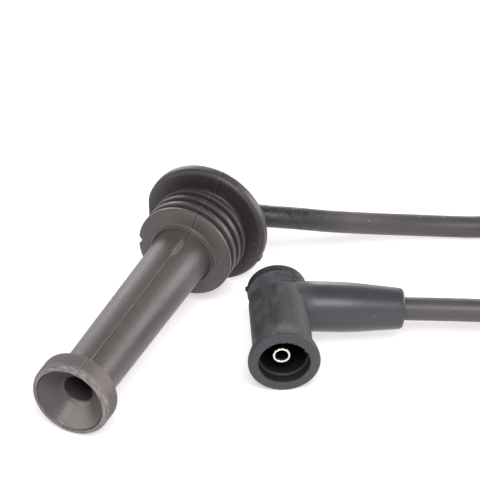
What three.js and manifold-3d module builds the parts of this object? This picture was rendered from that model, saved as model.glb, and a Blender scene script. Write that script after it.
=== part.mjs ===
// Spark plug wire: a long ribbed plug boot, a 7 mm ignition cable and a right-angle coil boot.
// Millimetres, +Z up. Both boots lie on the floor plane z = 0 and the cable joins them.
import * as THREE from 'three';
import { mergeVertices } from 'three/addons/utils/BufferGeometryUtils.js';
import Module from 'manifold-3d';

const wasm = await Module();
wasm.setup();

// Clearances and facets
const FIT_GAP = 0.3;
const CUT_OVERRUN = 2;
const BOOT_FACETS = 40;
const SMALL_FACETS = 18;
const CABLE_SIDES = 10;
const STEP_DIAMETERS = 1;

// Cable
const CABLE_DIAMETER = 7;
const CORE_DIAMETER = 2.2;
const CABLE_RADIUS = CABLE_DIAMETER / 2;
const CORE_RADIUS = CORE_DIAMETER / 2;

// Plug boot, distances along its axis from the funnel's rim
const COLLAR_RADIUS = 12;
const COLLAR_LENGTH = 7.3;
const FUNNEL_RADIUS = 10.3;
const FUNNEL_DEPTH = 6.1;
const LIP_RADIUS = 4.4;
const LIP_LENGTH = 6;
const INSULATOR_RADIUS = 4.8;
const TERMINAL_SEAT = 50;
const TUBE_FRONT_RADIUS = 8.1;
const TUBE_REAR_RADIUS = 9.05;
const NECK_LIP_RADIUS = 10.1;
const NECK_LIP_WALL = 0.5;
const NECK_LIP_HEIGHT = 2;
const NECK_RECESS_DEPTH = 2.6;
const RIB_START = 78.1;
const RIB_COUNT = 4;
const RIB_PITCH = 3.7;
const RIB_THICKNESS = 1.9;
const RIB_RADIUS = 15.3;
const RIB_ROOT_RADIUS = 12.2;
const FLANGE_PLACE = 96.1;
const FLANGE_RADIUS = 20;
const FLANGE_THICKNESS = 4.4;
const FLANGE_DISH = 1.2;
const FLANGE_FLAT = 18.9;
const HUB_RADIUS = 9;
const HUB_LENGTH = 12.4;
const OUTLET_BEHIND = 7.5;
const OUTLET_LEAN = 21;
const OUTLET_ROLL = 10.7;
const OUTLET_RADIUS = 5.6;
const OUTLET_END_RADIUS = 4.6;
const OUTLET_REACH = 12;
const EDGE_ROUND = 0.5;
const HUB_ROUND = 1.4;

// Plug terminal
const SOCKET_RADIUS = 4.3;
const SOCKET_BORE = 3.2;
const SOCKET_LENGTH = 17;
const SOCKET_DEPTH = 13;
const SPRING_PLACE = 2.4;
const SPRING_WIRE = 0.7;
const SPRING_OPENING = 60;
const STEM_RADIUS = 1.6;
const STEM_HEAD_RADIUS = 2.5;
const STEM_HEAD_LENGTH = 7.6;
const PLUG_CABLE_END = 6.2;

// Coil boot, distances along its body from the mouth
const MOUTH_RADIUS = 10.65;
const MOUTH_BEAD = 1.6;
const MOUTH_FLARE = 7.5;
const MOUTH_BORE = 7.5;
const RIDGE_RADIUS = 6.9;
const RIDGE_PLACE = 3.3;
const RIDGE_WIDTH = 1.3;
const CAVITY_RADIUS = 7.3;
const CAVITY_DEPTH = 19;
const BODY_RADIUS = 8.9;
const SHOULDER_PLACE = 26.8;
const SHOULDER_ROUND = 0.8;
const GROOVE_RADIUS = 6.3;
const GROOVE_WIDTH = 5.1;
const DISC_RADIUS = 9;
const DISC_THICKNESS = 3.15;
const ARM_PLACE = 26.5;
const ARM_RADIUS = 7.55;
const ARM_STRAIGHT = 21.4;
const ARM_LENGTH = 37.4;
const ARM_END_RADIUS = 6.15;

// Coil terminal
const PIN_RADIUS = 2.8;
const PIN_BORE = 1.75;
const PIN_BORE_DEPTH = 14;
const PIN_INSET = 3.65;
const PIN_OVER = 2.6;
const CRIMP_RADIUS = 2.6;
const CRIMP_LENGTH = 12.5;
const CRIMP_WEB = 3.5;
const CORE_SHORT = 3;

// How the boots lie: place in plan of the plug boot's rim and the coil boot's mouth,
// the coil boot's heading from +Y towards -X, its nose-down tilt and the drop of its arm
const PLUG_RIM_PLACE = [-26.3, -55.5];
const COIL_MOUTH_PLACE = [21.1, -11.2];
const COIL_HEADING = 26.5;
const COIL_TILT = 7.5;
const ARM_DROP = 4;

// Free cable: hand-picked points of its two runs, and the round coil between them
const PLUG_RUN = [
  [-7.6, 56, 17.6], [-2.8, 59.2, 16.5], [4.7, 66.1, 13.6], [11.8, 74.5, 10.2], [17.9, 81.1, 7.7],
  [25.8, 87.6, 5.7], [34.2, 92.9, 4.4], [43.7, 98.1, 3.6], [52.3, 103.3, 3.6], [59.2, 107.6, 3.6],
];
const COIL_RUN = [
  [49.4, 32.7, 10.95], [55.5, 35.3, 10.8], [61.9, 37.65, 10.8], [71.8, 40.9, 10.9],
  [82.6, 43.6, 11.2],
];
const COIL_CENTRE = [100.4, 88];
const COIL_MEAN_RADIUS = 35;
const COIL_LAYER_PITCH = 7.3;
const COIL_FACETS = 40;
const RUN_HEADING = 23.4;
const TIE_THICKNESS = 0.7;
const TIE_WIDTH = 6;
const TIE_ANGLE = -23;

const rubber = new THREE.MeshStandardMaterial({ color: 0x4a4846, roughness: 0.75, metalness: 0 });
const satinRubber = new THREE.MeshStandardMaterial({ color: 0x45464a, roughness: 0.6, metalness: 0 });
const jacket = new THREE.MeshStandardMaterial({ color: 0x3c3a3e, roughness: 0.5, metalness: 0 });
const tinned = new THREE.MeshStandardMaterial({ color: 0xc9c6bf, roughness: 0.3, metalness: 1 });
const springSteel = new THREE.MeshStandardMaterial({ color: 0x8d8c8a, roughness: 0.35, metalness: 1 });
const nylon = new THREE.MeshStandardMaterial({ color: 0x1d1d1e, roughness: 0.55, metalness: 0 });

const radians = THREE.MathUtils.degToRad;

// A closed solid from any closed geometry, with its shared points merged and its faces outwards
function solid(geometry) {
  const bare = new THREE.BufferGeometry();
  bare.setAttribute('position', geometry.getAttribute('position'));
  bare.setIndex(geometry.getIndex());
  const merged = mergeVertices(bare, 1e-4);
  const position = merged.getAttribute('position');
  const corners = merged.getIndex().array;
  const triangles = [];
  let volume = 0;
  for (let i = 0; i < corners.length; i += 3) {
    const [a, b, c] = [corners[i], corners[i + 1], corners[i + 2]];
    if (a === b || b === c || c === a) continue;
    triangles.push(a, b, c);
    const [p, q, r] = [a, b, c].map((k) => new THREE.Vector3().fromBufferAttribute(position, k));
    volume += p.dot(q.cross(r));
  }
  if (volume < 0) triangles.reverse();
  return new wasm.Manifold(new wasm.Mesh({
    numProp: 3,
    vertProperties: new Float32Array(position.array),
    triVerts: new Uint32Array(triangles),
  }));
}

// A named mesh from a solid
function piece(name, body, material) {
  const { vertProperties, triVerts } = body.getMesh();
  const geometry = new THREE.BufferGeometry();
  geometry.setAttribute('position', new THREE.BufferAttribute(vertProperties, 3));
  geometry.setIndex(new THREE.BufferAttribute(triVerts, 1));
  geometry.computeVertexNormals();
  const mesh = new THREE.Mesh(geometry, material);
  mesh.name = name;
  return mesh;
}

// A profile of [radius, height] points turned round +Z
function turned(profile, facets = SMALL_FACETS) {
  const points = profile.map(([radius, height]) => new THREE.Vector2(radius, height));
  return new THREE.LatheGeometry(points, facets).rotateX(Math.PI / 2);
}

// A plain round bar or bore along +Z, from one height to another
function bar(radius, from, to, endRadius = radius, facets = SMALL_FACETS) {
  return turned([[0, from], [radius, from], [endRadius, to], [0, to]], facets);
}

// Corner points of a profile edge rounded by a quarter turn about its centre
function rounded(radius, height, size, startAngle, steps = 3) {
  return Array.from({ length: steps + 1 }, (_, i) => {
    const angle = radians(startAngle + (90 * i) / steps);
    return [radius + size * Math.cos(angle), height + size * Math.sin(angle)];
  });
}

// Plug boot: one moulding, from the funnel's rim up to the hub behind the flange
const flangeFront = FLANGE_PLACE - FLANGE_THICKNESS / 2;
const flangeBack = FLANGE_PLACE + FLANGE_THICKNESS / 2;
const hubEnd = flangeBack + HUB_LENGTH;
const outletPlace = FLANGE_PLACE + OUTLET_BEHIND;
const outletDirection = new THREE.Vector3(1, 0, 0)
  .applyAxisAngle(new THREE.Vector3(0, -1, 0), radians(OUTLET_LEAN))
  .applyAxisAngle(new THREE.Vector3(0, 0, 1), radians(OUTLET_ROLL));
const terminalFront = TERMINAL_SEAT + FIT_GAP;
const terminalBack = terminalFront + SOCKET_LENGTH;
const stemHeadFront = outletPlace - STEM_HEAD_LENGTH / 2;
const stemHeadBack = outletPlace + STEM_HEAD_LENGTH / 2;

function ribProfile(index) {
  const front = RIB_START + index * RIB_PITCH;
  const back = front + RIB_THICKNESS;
  const soft = RIB_THICKNESS / 4;
  return [
    ...(index > 0 ? [[RIB_ROOT_RADIUS, front], [RIB_RADIUS - soft, front]] : []),
    [RIB_RADIUS, front + soft],
    [RIB_RADIUS, back - soft],
    [RIB_RADIUS - soft, back],
    [RIB_ROOT_RADIUS, back],
  ];
}

function plugBootOutside() {
  const lipFront = RIB_START - NECK_LIP_HEIGHT;
  const edge = FLANGE_THICKNESS / 2;
  const ribs = Array.from({ length: RIB_COUNT }, (_, i) => ribProfile(i)).flat();
  return turned([
    [0, 0],
    ...rounded(COLLAR_RADIUS - EDGE_ROUND, EDGE_ROUND, EDGE_ROUND, -90, 2),
    ...rounded(COLLAR_RADIUS - EDGE_ROUND, COLLAR_LENGTH - EDGE_ROUND, EDGE_ROUND, 0, 2),
    [TUBE_FRONT_RADIUS, COLLAR_LENGTH],
    [TUBE_REAR_RADIUS, lipFront + NECK_RECESS_DEPTH],
    [NECK_LIP_RADIUS - NECK_LIP_WALL, lipFront + NECK_RECESS_DEPTH],
    [NECK_LIP_RADIUS - NECK_LIP_WALL, lipFront],
    [NECK_LIP_RADIUS, lipFront],
    ...ribs,
    [RIB_ROOT_RADIUS, flangeFront + FLANGE_DISH],
    ...rounded(FLANGE_RADIUS - edge, FLANGE_PLACE, edge, -90, 4),
    ...rounded(FLANGE_RADIUS - edge, FLANGE_PLACE, edge, 0, 4).slice(1),
    [HUB_RADIUS, flangeBack],
    ...rounded(HUB_RADIUS - HUB_ROUND, hubEnd - HUB_ROUND, HUB_ROUND, 0),
    [0, hubEnd],
  ], BOOT_FACETS);
}

function plugBootBore() {
  return turned([
    [0, -CUT_OVERRUN],
    [FUNNEL_RADIUS, -CUT_OVERRUN],
    [FUNNEL_RADIUS, 0],
    [LIP_RADIUS, FUNNEL_DEPTH],
    [LIP_RADIUS, FUNNEL_DEPTH + LIP_LENGTH],
    [INSULATOR_RADIUS, FUNNEL_DEPTH + LIP_LENGTH + FIT_GAP],
    [INSULATOR_RADIUS, TERMINAL_SEAT],
    [SOCKET_RADIUS + FIT_GAP, TERMINAL_SEAT],
    [SOCKET_RADIUS + FIT_GAP, terminalBack + FIT_GAP],
    [STEM_RADIUS + FIT_GAP, terminalBack + FIT_GAP],
    [STEM_RADIUS + FIT_GAP, stemHeadFront - FIT_GAP],
    [STEM_HEAD_RADIUS + FIT_GAP, stemHeadFront - FIT_GAP],
    [STEM_HEAD_RADIUS + FIT_GAP, stemHeadBack + FIT_GAP],
    [0, stemHeadBack + FIT_GAP],
  ], BOOT_FACETS);
}

// Anything that lies along the plug boot's side outlet, which leans back and down
function alongOutlet(geometry) {
  return geometry
    .rotateY(Math.PI / 2 - radians(OUTLET_LEAN))
    .rotateZ(radians(OUTLET_ROLL))
    .translate(0, 0, outletPlace);
}

function plugBoot() {
  const sleeve = alongOutlet(bar(OUTLET_RADIUS, 0, OUTLET_REACH, OUTLET_END_RADIUS, BOOT_FACETS));
  const cableBore = alongOutlet(
    bar(CABLE_RADIUS + FIT_GAP, PLUG_CABLE_END - FIT_GAP, OUTLET_REACH + CUT_OVERRUN));
  const coreBore = alongOutlet(bar(CORE_RADIUS + FIT_GAP, 0, PLUG_CABLE_END));
  const flatDepth = FLANGE_RADIUS - FLANGE_FLAT + CUT_OVERRUN;
  const flat = new THREE.BoxGeometry(flatDepth, 2 * FLANGE_RADIUS, FLANGE_THICKNESS + CUT_OVERRUN)
    .translate(-FLANGE_FLAT - flatDepth / 2, 0, FLANGE_PLACE);
  return solid(plugBootOutside())
    .add(solid(sleeve))
    .subtract(solid(plugBootBore()))
    .subtract(solid(cableBore))
    .subtract(solid(coreBore))
    .subtract(solid(flat));
}

// Plug terminal: a snap socket on a long stem, whose head takes the cable's core from the side
const springPlace = terminalFront + SPRING_PLACE;
const springGroove = SOCKET_BORE + SPRING_WIRE / 2 + FIT_GAP;

function plugTerminal() {
  const half = SPRING_WIRE / 2 + FIT_GAP;
  const floor = terminalFront + SOCKET_DEPTH;
  const outside = turned([
    [0, terminalFront], [SOCKET_RADIUS, terminalFront], [SOCKET_RADIUS, terminalBack],
    [STEM_RADIUS, terminalBack], [STEM_RADIUS, stemHeadFront], [STEM_HEAD_RADIUS, stemHeadFront],
    [STEM_HEAD_RADIUS, stemHeadBack], [0, stemHeadBack],
  ]);
  const inside = turned([
    [0, terminalFront - CUT_OVERRUN], [SOCKET_BORE, terminalFront - CUT_OVERRUN],
    [SOCKET_BORE, springPlace - half], [springGroove, springPlace - half],
    [springGroove, springPlace + half], [SOCKET_BORE, springPlace + half],
    [SOCKET_BORE, floor], [0, floor],
  ]);
  const coreHole = alongOutlet(bar(CORE_RADIUS + FIT_GAP, 0, STEM_HEAD_RADIUS + CUT_OVERRUN));
  return solid(outside).subtract(solid(inside)).subtract(solid(coreHole));
}

// Snap ring: an open round of spring wire in the socket's groove
function snapRing() {
  const wire = new THREE.Shape().absarc(0, 0, SPRING_WIRE / 2, 0, 2 * Math.PI);
  const opening = radians(SPRING_OPENING / 2);
  class RingPath extends THREE.Curve {
    getPoint(t) {
      const angle = opening + t * 2 * (Math.PI - opening);
      return new THREE.Vector3(
        SOCKET_BORE * Math.cos(angle), SOCKET_BORE * Math.sin(angle), springPlace);
    }
  }
  return solid(indexed(new THREE.ExtrudeGeometry(wire, {
    steps: SMALL_FACETS, curveSegments: 3, bevelEnabled: false, extrudePath: new RingPath(),
  })));
}

// An extrusion with its faces given as a list of corners
function indexed(geometry) {
  const count = geometry.getAttribute('position').count;
  geometry.setIndex(Array.from({ length: count }, (_, i) => i));
  return geometry;
}

// The cable's end inside a boot: its jacket, and the bare core that goes on into the terminal
function cableEnd(stripped, reach, coreFrom) {
  return solid(turned([
    [0, coreFrom], [CORE_RADIUS, coreFrom], [CORE_RADIUS, stripped],
    [CABLE_RADIUS, stripped], [CABLE_RADIUS, reach], [0, reach],
  ]));
}

// Coil boot: one right-angle moulding, body along +Z from the mouth, arm along +X
const coilLength = SHOULDER_PLACE + GROOVE_WIDTH + DISC_THICKNESS;
const discFront = SHOULDER_PLACE + GROOVE_WIDTH;
const pinBack = ARM_PLACE + PIN_OVER;
const coilCableEnd = CRIMP_LENGTH + FIT_GAP;

function alongArm(geometry) {
  return geometry.rotateY(Math.PI / 2).translate(0, 0, ARM_PLACE);
}

function coilBootBody() {
  return turned([
    [0, 0],
    ...rounded(MOUTH_RADIUS - EDGE_ROUND, EDGE_ROUND, EDGE_ROUND, -90, 2),
    [MOUTH_RADIUS, MOUTH_BEAD],
    [BODY_RADIUS, MOUTH_FLARE],
    ...rounded(BODY_RADIUS - SHOULDER_ROUND, SHOULDER_PLACE - SHOULDER_ROUND, SHOULDER_ROUND, 0),
    [GROOVE_RADIUS, SHOULDER_PLACE],
    [GROOVE_RADIUS, discFront],
    ...rounded(DISC_RADIUS - EDGE_ROUND, discFront + EDGE_ROUND, EDGE_ROUND, -90, 2),
    ...rounded(DISC_RADIUS - EDGE_ROUND, coilLength - EDGE_ROUND, EDGE_ROUND, 0, 2),
    [0, coilLength],
  ], BOOT_FACETS);
}

function coilBootArm() {
  return alongArm(turned([
    [0, 0],
    [ARM_RADIUS, 0],
    [ARM_RADIUS, ARM_STRAIGHT],
    ...rounded(ARM_END_RADIUS - EDGE_ROUND, ARM_LENGTH - EDGE_ROUND, EDGE_ROUND, 0, 2),
    [0, ARM_LENGTH],
  ], BOOT_FACETS));
}

function coilBootCavity() {
  const soft = RIDGE_WIDTH / 4;
  return turned([
    [0, -CUT_OVERRUN],
    [MOUTH_BORE, -CUT_OVERRUN],
    [MOUTH_BORE, RIDGE_PLACE],
    [RIDGE_RADIUS, RIDGE_PLACE + soft],
    [RIDGE_RADIUS, RIDGE_PLACE + RIDGE_WIDTH - soft],
    [CAVITY_RADIUS, RIDGE_PLACE + RIDGE_WIDTH],
    [CAVITY_RADIUS, CAVITY_DEPTH],
    [PIN_RADIUS + FIT_GAP, CAVITY_DEPTH],
    [PIN_RADIUS + FIT_GAP, pinBack + FIT_GAP],
    [0, pinBack + FIT_GAP],
  ], BOOT_FACETS);
}

function coilBoot() {
  const crimpBore = alongArm(bar(CRIMP_RADIUS + FIT_GAP, 0, CRIMP_LENGTH + FIT_GAP));
  const cableBore = alongArm(bar(CABLE_RADIUS + FIT_GAP, CRIMP_LENGTH, ARM_LENGTH + CUT_OVERRUN));
  return solid(coilBootBody())
    .add(solid(coilBootArm()))
    .subtract(solid(coilBootCavity()))
    .subtract(solid(crimpBore))
    .subtract(solid(cableBore));
}

// Coil terminal: a tube for the coil's pin, with a crimp barrel for the core at right angles
function coilTerminal() {
  const pinBore = bar(PIN_BORE, PIN_INSET - CUT_OVERRUN, PIN_INSET + PIN_BORE_DEPTH);
  const coreBore = alongArm(bar(CORE_RADIUS + FIT_GAP, CRIMP_WEB, CRIMP_LENGTH + CUT_OVERRUN));
  return solid(bar(PIN_RADIUS, PIN_INSET, pinBack))
    .add(solid(alongArm(bar(CRIMP_RADIUS, 0, CRIMP_LENGTH))))
    .subtract(solid(pinBore))
    .subtract(solid(coreBore));
}

// The plug boot lies on its collar's rim and its flange, so its axis rises to the flange
const plugTilt = Math.atan((FLANGE_RADIUS - COLLAR_RADIUS) / FLANGE_PLACE);
const plugGroup = new THREE.Group();
plugGroup.position.set(...PLUG_RIM_PLACE, COLLAR_RADIUS * Math.cos(plugTilt));
plugGroup.rotation.x = plugTilt - Math.PI / 2;

// The coil boot leans on its mouth's lower edge, with its arm held up by the cable
const coilTilt = radians(COIL_TILT);
const coilGroup = new THREE.Group();
coilGroup.position.set(...COIL_MOUTH_PLACE, MOUTH_RADIUS * Math.cos(coilTilt));
coilGroup.rotation.set(coilTilt - Math.PI / 2, 0, radians(COIL_HEADING), 'ZXY');
const coilTurn = new THREE.Group();
coilTurn.rotation.z = radians(ARM_DROP);
coilGroup.add(coilTurn);

const outletEnd = cableEnd(PLUG_CABLE_END, OUTLET_REACH, FIT_GAP);
const armEnd = cableEnd(coilCableEnd, ARM_LENGTH, CRIMP_WEB + CORE_SHORT);
const plugCableEnd = piece('cable_end_at_plug', outletEnd, jacket);
plugCableEnd.rotation.set(0, Math.PI / 2 - radians(OUTLET_LEAN), radians(OUTLET_ROLL), 'ZYX');
plugCableEnd.position.z = outletPlace;
const coilCableEndMesh = piece('cable_end_at_coil', armEnd, jacket);
coilCableEndMesh.rotation.y = Math.PI / 2;
coilCableEndMesh.position.z = ARM_PLACE;

plugGroup.add(
  piece('plug_boot', plugBoot(), rubber),
  piece('plug_terminal', plugTerminal(), tinned),
  piece('plug_snap_ring', snapRing(), springSteel),
  plugCableEnd,
);
coilTurn.add(
  piece('coil_boot', coilBoot(), satinRubber),
  piece('coil_terminal', coilTerminal(), tinned),
  coilCableEndMesh,
);

// Free cable: from the outlet along the floor into a coil of one and a half turns, then back
const wire = new THREE.Group();
wire.add(plugGroup, coilGroup);
wire.updateMatrixWorld(true);

// The point on a boot's cable axis at a distance from the boot's centre, in the wire's frame
function onAxis(group, place, direction, distance) {
  const local = direction.clone().multiplyScalar(distance).add(new THREE.Vector3(0, 0, place));
  return group.localToWorld(local);
}

const armDirection = new THREE.Vector3(1, 0, 0);
const plugStart = [FIT_GAP, CABLE_DIAMETER / 2].map(
  (ahead) => onAxis(plugGroup, outletPlace, outletDirection, OUTLET_REACH + ahead));
const coilStart = [FIT_GAP, CABLE_DIAMETER / 2].map(
  (ahead) => onAxis(coilTurn, ARM_PLACE, armDirection, ARM_LENGTH + ahead));

function tube(points) {
  const path = new THREE.CatmullRomCurve3(points, false, 'centripetal');
  const section = new THREE.Shape(Array.from({ length: CABLE_SIDES }, (_, i) => {
    const angle = (2 * Math.PI * i) / CABLE_SIDES;
    return new THREE.Vector2(CABLE_RADIUS * Math.cos(angle), CABLE_RADIUS * Math.sin(angle));
  }));
  const steps = Math.ceil(path.getLength() / (STEP_DIAMETERS * CABLE_DIAMETER));
  return solid(indexed(new THREE.ExtrudeGeometry(section, {
    steps, bevelEnabled: false, extrudePath: path,
  })));
}

// The coil's outer shape
const coilBase = TIE_THICKNESS + FIT_GAP;
const coilTop = coilBase + CABLE_DIAMETER + COIL_LAYER_PITCH;
const coilInner = COIL_MEAN_RADIUS - CABLE_RADIUS;
const coilOuter = COIL_MEAN_RADIUS + CABLE_RADIUS;

function coilShape() {
  const corner = CABLE_RADIUS / 2;
  return solid(turned([
    [coilInner + corner, coilBase], [coilOuter - corner, coilBase],
    [coilOuter, coilBase + corner], [coilOuter, coilTop - corner],
    [coilOuter - corner, coilTop], [coilInner + corner, coilTop],
    [coilInner, coilTop - corner], [coilInner, coilBase + corner],
    [coilInner + corner, coilBase],
  ], COIL_FACETS).translate(...COIL_CENTRE, 0));
}

// Where a run's centre line ends, just short of the coil's outer face, on the line of its tangent
function coilEntry(side, height) {
  const before = Math.sqrt((coilOuter + FIT_GAP) ** 2 - coilInner ** 2);
  const offset = new THREE.Vector3(-before, side * COIL_MEAN_RADIUS, height);
  offset.applyAxisAngle(new THREE.Vector3(0, 0, 1), radians(RUN_HEADING));
  return offset.add(new THREE.Vector3(...COIL_CENTRE, 0));
}

const vectors = (points) => points.map((point) => new THREE.Vector3(...point));
const upperTurn = coilTop - CABLE_RADIUS;
const plugRun = tube([...plugStart, ...vectors(PLUG_RUN), coilEntry(1, CABLE_RADIUS)]);
const coilRun = tube([...coilStart, ...vectors(COIL_RUN), coilEntry(-1, upperTurn)]);

// Tie: a narrow nylon band round both layers of the coil
function coilTie() {
  const inside = { x: CABLE_RADIUS + FIT_GAP, low: TIE_THICKNESS, high: coilTop + FIT_GAP };
  const outline = (grow) => {
    const x = inside.x + grow;
    return [
      [-x, inside.low - grow], [x, inside.low - grow], [x, inside.high + grow], [-x, inside.high + grow],
    ].map(([a, b]) => new THREE.Vector2(a, b));
  };
  const frame = new THREE.Shape(outline(TIE_THICKNESS));
  frame.holes.push(new THREE.Path(outline(0)));
  const band = new THREE.ExtrudeGeometry(frame, { depth: TIE_WIDTH, bevelEnabled: false })
    .translate(0, 0, -TIE_WIDTH / 2)
    .rotateX(Math.PI / 2)
    .translate(COIL_MEAN_RADIUS, 0, 0)
    .rotateZ(radians(TIE_ANGLE))
    .translate(...COIL_CENTRE, 0);
  return solid(indexed(band));
}

wire.add(
  piece('cable_run_from_plug', plugRun, jacket),
  piece('cable_coil', coilShape(), jacket),
  piece('cable_run_to_coil_boot', coilRun, jacket),
  piece('coil_tie', coilTie(), nylon),
);

export default wire;
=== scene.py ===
# A spark plug wire for a car engine, lying on a pale floor: a long ribbed plug boot, 7 mm ignition
# cable with the length that isn't seen wound in a coil, and a right-angle coil boot.
import math

import bpy
from mathutils import Matrix, Vector, noise


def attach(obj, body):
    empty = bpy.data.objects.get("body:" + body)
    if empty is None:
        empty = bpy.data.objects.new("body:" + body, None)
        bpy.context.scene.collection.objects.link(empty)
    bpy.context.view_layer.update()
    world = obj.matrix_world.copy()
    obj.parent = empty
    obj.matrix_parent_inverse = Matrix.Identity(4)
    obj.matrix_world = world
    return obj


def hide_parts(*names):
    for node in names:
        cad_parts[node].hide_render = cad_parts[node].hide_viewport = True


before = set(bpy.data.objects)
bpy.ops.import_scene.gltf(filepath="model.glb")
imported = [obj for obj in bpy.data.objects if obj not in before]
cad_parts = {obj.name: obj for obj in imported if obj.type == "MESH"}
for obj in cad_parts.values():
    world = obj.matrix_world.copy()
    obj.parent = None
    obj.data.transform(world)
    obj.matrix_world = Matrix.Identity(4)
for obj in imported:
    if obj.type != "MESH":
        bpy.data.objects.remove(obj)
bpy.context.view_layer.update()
MM = 0.001

# Camera
# The lens and place come from fitting both boots and both cable ends to the picture. It stands
# about 0.79 m away, 30 degrees above the floor.
CAMERA_PLACE = (0.2433, -0.5581, 0.3954)
CAMERA_AIM = (-0.02607, 0.0655, 0.0)
CAMERA_LENS = 182.2
SENSOR_WIDTH = 36.0
NEAREST_SEEN = 0.01

camera_data = bpy.data.cameras.new("camera")
camera_data.sensor_width = SENSOR_WIDTH
camera_data.lens = CAMERA_LENS
camera_data.clip_start = NEAREST_SEEN
camera = bpy.data.objects.new("camera", camera_data)
camera.location = CAMERA_PLACE
line_of_sight = Vector(CAMERA_AIM) - Vector(CAMERA_PLACE)
camera.rotation_euler = line_of_sight.to_track_quat("-Z", "Y").to_euler()
bpy.context.collection.objects.link(camera)
bpy.context.scene.camera = camera
bpy.context.scene.view_settings.view_transform = "Standard"


# Cable
# Ignition cable, 7 mm across, with an extruded EPDM jacket over a fibre core. It is one length:
# out of the plug boot's side outlet, down to the floor, into a flat coil, and on to the coil boot.
CABLE_DIAMETER = 7.0
CABLE_SIDES = 32
CABLE_STEPS = 4
SHARP_FROM = 40.0
CABLE_EXIT = (-15.29, 52.2, 18.84)
OUTLET_PART = [(-18.04, 51.09, 19.27), CABLE_EXIT, (-12.08, 53.5, 18.34)]
PLUG_RUN = [
    (-7.6, 56.0, 17.6), (-2.8, 59.2, 16.5), (4.7, 66.1, 13.6), (11.8, 74.5, 10.2),
    (17.9, 81.1, 7.7), (25.8, 87.6, 5.7), (34.2, 92.9, 4.4), (43.7, 98.1, 3.6),
    (52.3, 103.3, 3.6), (59.2, 107.6, 3.6), (68.5, 112.2, 3.6),
]
COIL_RUN = [
    (95.0, 47.5, 11.2), (82.6, 43.6, 11.2), (71.8, 40.9, 10.9), (61.9, 37.65, 10.8),
    (55.5, 35.3, 10.8), (49.4, 32.7, 10.95),
]
ARM_PART = [(45.72, 30.85, 11.19), (42.61, 29.27, 11.43), (40.04, 27.95, 11.63)]
COIL_CENTRE = (100.4, 88.0)
COIL_RADIUS = 35.0
COIL_HEADING = 23.4
COIL_TURNED = 540.0
COIL_POINTS = 54
COIL_FLOOR = 3.6
COIL_PITCH = 7.05
CLIMB_FROM = 235.0
CLIMB_OVER = 90.0
TIE_ANGLE = -23.0
TIE_LIFT = 0.8
TIE_LIFT_SPREAD = 24.0


def coil_route():
    """One and a half turns, seen from above clockwise: flat, then up and on to the first layer."""
    points = []
    for step in range(COIL_POINTS + 1):
        turned = COIL_TURNED * step / COIL_POINTS
        climb = min(max((turned - CLIMB_FROM) / CLIMB_OVER, 0.0), 1.0)
        climb = climb * climb * (3.0 - 2.0 * climb)
        degrees = COIL_HEADING + 90.0 - turned
        from_tie = (degrees - TIE_ANGLE + 180.0) % 360.0 - 180.0
        lift = TIE_LIFT * math.exp(-((from_tie / TIE_LIFT_SPREAD) ** 2))
        angle = math.radians(degrees)
        points.append((
            COIL_CENTRE[0] + COIL_RADIUS * math.cos(angle),
            COIL_CENTRE[1] + COIL_RADIUS * math.sin(angle),
            COIL_FLOOR + COIL_PITCH * climb + lift,
        ))
    return points


def smooth_path(points, steps):
    """A smooth line through the points, with equal steps between each pair of them."""
    line = []
    for i in range(len(points) - 1):
        before = points[max(i - 1, 0)]
        after = points[min(i + 2, len(points) - 1)]
        start = points[i]
        end = points[i + 1]
        span = (end - start).length
        leave = (end - before).normalized() * span
        arrive = (after - start).normalized() * span
        for step in range(steps):
            t = step / steps
            line.append(
                start * (2 * t**3 - 3 * t**2 + 1) + leave * (t**3 - 2 * t**2 + t)
                + end * (3 * t**2 - 2 * t**3) + arrive * (t**3 - t**2))
    line.append(points[-1])
    return line


def pick(piece):
    """Makes a piece the only selected one, and the active one."""
    bpy.ops.object.select_all(action="DESELECT")
    piece.select_set(True)
    bpy.context.view_layer.objects.active = piece


def smooth(piece, sharp_from=SHARP_FROM):
    """Shades a piece smooth but for its edges sharper than an angle."""
    pick(piece)
    bpy.ops.object.shade_smooth_by_angle(angle=math.radians(sharp_from))


def tube(name, path, diameter, sides):
    """A curve with a round bevel and closed ends, made a mesh."""
    curve = bpy.data.curves.new(name, "CURVE")
    curve.dimensions = "3D"
    curve.bevel_depth = diameter / 2
    curve.bevel_resolution = sides // 4
    curve.use_fill_caps = True
    spline = curve.splines.new("POLY")
    spline.points.add(len(path) - 1)
    for point, place in zip(spline.points, path):
        point.co = (*place, 1.0)
    made = bpy.data.objects.new(name, curve)
    bpy.context.collection.objects.link(made)
    pick(made)
    bpy.ops.object.convert(target="MESH")
    smooth(bpy.context.object)
    return bpy.context.object


cable_points = OUTLET_PART + PLUG_RUN + coil_route() + COIL_RUN + ARM_PART
cable_line = smooth_path([Vector(point) * MM for point in cable_points], CABLE_STEPS)
cable = tube("cable", cable_line, CABLE_DIAMETER * MM, CABLE_SIDES)


def linear(hex_colour):
    """An sRGB hex value as the linear colour that a shader takes."""
    values = [int(hex_colour[i:i + 2], 16) / 255 for i in (1, 3, 5)]
    return (*[v / 12.92 if v <= 0.04045 else ((v + 0.055) / 1.055) ** 2.4 for v in values], 1.0)


def new_material(name):
    material = bpy.data.materials.new(name)
    material.use_nodes = True
    material.node_tree.nodes.clear()
    return material


def add(material, kind, inputs=(), **settings):
    """Adds a node with its settings and gives its outputs. Its inputs come as a list from the
    first on, or by name or number. An input is a value, a hex colour or another's output."""
    node = material.node_tree.nodes.new("ShaderNode" + kind)
    for name, value in settings.items():
        setattr(node, name, value)
    given = inputs.items() if isinstance(inputs, dict) else enumerate(inputs)
    for name, value in given:
        socket = node.inputs[name]
        if isinstance(value, bpy.types.NodeSocket):
            material.node_tree.links.new(value, socket)
        else:
            socket.default_value = linear(value) if isinstance(value, str) else value
    return node.outputs


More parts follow.
